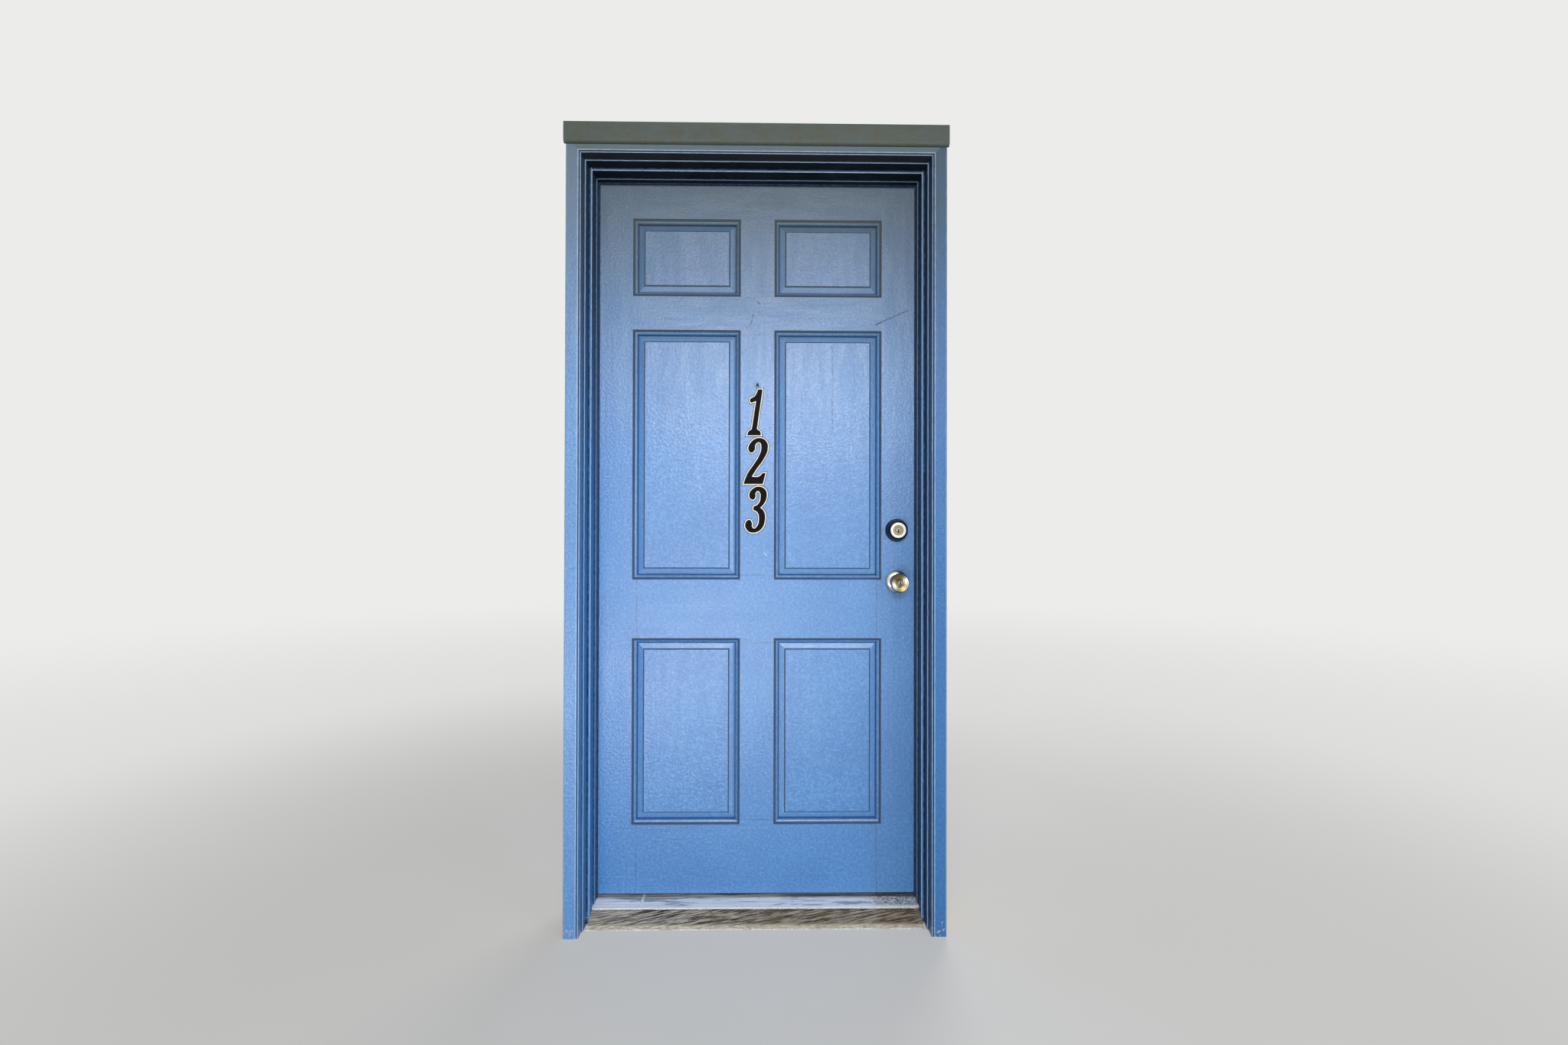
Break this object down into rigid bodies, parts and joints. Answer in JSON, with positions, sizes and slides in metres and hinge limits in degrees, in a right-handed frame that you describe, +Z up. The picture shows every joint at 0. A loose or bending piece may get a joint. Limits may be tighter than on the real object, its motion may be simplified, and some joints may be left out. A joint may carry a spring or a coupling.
{
  "type": "panelled front door",
  "caption": "Timber panelled entrance door hung in its rebated frame, with knob set, deadbolt, butt hinges, viewer, sill and saddle.",
  "frame": {"origin": "on the underside of the sill, below the outside face of the closed leaf, midway between the jambs", "axes": "+Z up the door, +Y into the house, +X to the right as seen from outside, towards the lock side"},
  "size_m": [1.0102, 0.2575, 2.1299],
  "materials": {
    "leaf_enamel": "satin blue enamel brushed on timber",
    "frame_enamel": "satin blue enamel brushed on timber",
    "weathered_sill": "bare weathered timber",
    "saddle_aluminium": "mill finish, oxidised",
    "seal_vinyl": "matt",
    "painted_strip": "matt, painted over",
    "hinge_steel": "satin",
    "bright_rose": "polished",
    "satin_nickel": "satin nickel",
    "dark_collar": "dark enamel",
    "plug_brass": "nickel plated brass",
    "lock_steel": "zinc plated",
    "viewer_brass": "plated",
    "viewer_glass": "clear"
  },
  "bodies": {
    "frame": {"deadbolt_strike": "lock_steel", "head_board": "frame_enamel", "head_casing": "frame_enamel", "head_jamb": "frame_enamel", "head_stop": "frame_enamel", "head_strip": "painted_strip", "hinge_jamb": "frame_enamel", "hinge_side_strip": "painted_strip", "hinge_stop": "frame_enamel", "latch_strike": "lock_steel", "left_casing": "frame_enamel", "lower_hinge_frame_plate": "hinge_steel", "middle_hinge_frame_plate": "hinge_steel", "right_casing": "frame_enamel", "strike_jamb": "frame_enamel", "strike_side_strip": "painted_strip", "strike_stop": "frame_enamel", "threshold_saddle": "saddle_aluminium", "threshold_seal": "seal_vinyl", "upper_hinge_frame_plate": "hinge_steel", "wood_sill": "weathered_sill"},
    "leaf": {"hinge_stile": "leaf_enamel", "lock_stile": "leaf_enamel", "top_rail": "leaf_enamel", "frieze_rail": "leaf_enamel", "lock_rail": "leaf_enamel", "bottom_rail": "leaf_enamel", "top_muntin": "leaf_enamel", "middle_muntin": "leaf_enamel", "bottom_muntin": "leaf_enamel", "top_left_panel": "leaf_enamel", "top_right_panel": "leaf_enamel", "middle_left_panel": "leaf_enamel", "middle_right_panel": "leaf_enamel", "bottom_left_panel": "leaf_enamel", "bottom_right_panel": "leaf_enamel", "upper_hinge_leaf_plate": "hinge_steel", "middle_hinge_leaf_plate": "hinge_steel", "lower_hinge_leaf_plate": "hinge_steel", "outside_rose": "bright_rose", "inside_rose": "bright_rose", "latch_case": "lock_steel", "latch_faceplate": "lock_steel", "deadbolt_case": "lock_steel", "deadbolt_faceplate": "lock_steel", "deadbolt_collar": "dark_collar", "deadbolt_cylinder": "satin_nickel", "thumb_plate": "satin_nickel", "viewer_outer_barrel": "viewer_brass", "viewer_inner_barrel": "viewer_brass", "viewer_lens": "viewer_glass"},
    "knob": {"outside_knob": "satin_nickel", "inside_knob": "satin_nickel", "knob_spindle": "lock_steel"},
    "knob_plug": {"knob_key_plug": "plug_brass"},
    "lock_button": {"lock_button": "satin_nickel"},
    "latch_bolt": {"latch_bolt": "lock_steel"},
    "thumb_turn": {"thumb_turn": "satin_nickel"},
    "deadbolt_bolt": {"deadbolt_bolt": "lock_steel"},
    "deadbolt_plug": {"deadbolt_key_plug": "plug_brass"}
  },
  "joints": [
    {"name": "leaf_swing", "type": "hinge", "parent": "frame", "child": "leaf", "pos_m": [-0.4556, 0.052, 1], "axis": [0, 0, 1], "range_deg": [0, 110]},
    {"name": "knob_turn", "type": "hinge", "parent": "leaf", "child": "knob", "pos_m": [0.3937, 0, 0.92], "axis": [0, -1, 0], "range_deg": [0, 45]},
    {"name": "latch_slide", "type": "slide", "parent": "leaf", "child": "latch_bolt", "axis": [1, 0, 0], "range_m": [0, 0.012]},
    {"name": "knob_key_turn", "type": "hinge", "parent": "knob", "child": "knob_plug", "pos_m": [0.3937, 0, 0.92], "axis": [0, -1, 0], "range_deg": [0, 90]},
    {"name": "lock_button_turn", "type": "hinge", "parent": "knob", "child": "lock_button", "pos_m": [0.3937, 0, 0.92], "axis": [0, 1, 0], "range_deg": [0, 90]},
    {"name": "thumb_turn_turn", "type": "hinge", "parent": "leaf", "child": "thumb_turn", "pos_m": [0.3937, 0, 1.06], "axis": [0, -1, 0], "range_deg": [0, 90]},
    {"name": "deadbolt_slide", "type": "slide", "parent": "leaf", "child": "deadbolt_bolt", "axis": [1, 0, 0], "range_m": [0, 0.025]},
    {"name": "deadbolt_key_turn", "type": "hinge", "parent": "leaf", "child": "deadbolt_plug", "pos_m": [0.3937, 0, 1.06], "axis": [0, -1, 0], "range_deg": [0, 90]}
  ],
  "couplings": [
    {"joint": "latch_slide", "follows": "knob_turn", "m_per_rad": 0.01527},
    {"joint": "deadbolt_slide", "follows": "thumb_turn_turn", "m_per_rad": 0.01591},
    {"joint": "deadbolt_key_turn", "follows": "thumb_turn_turn", "ratio": 1}
  ]
}
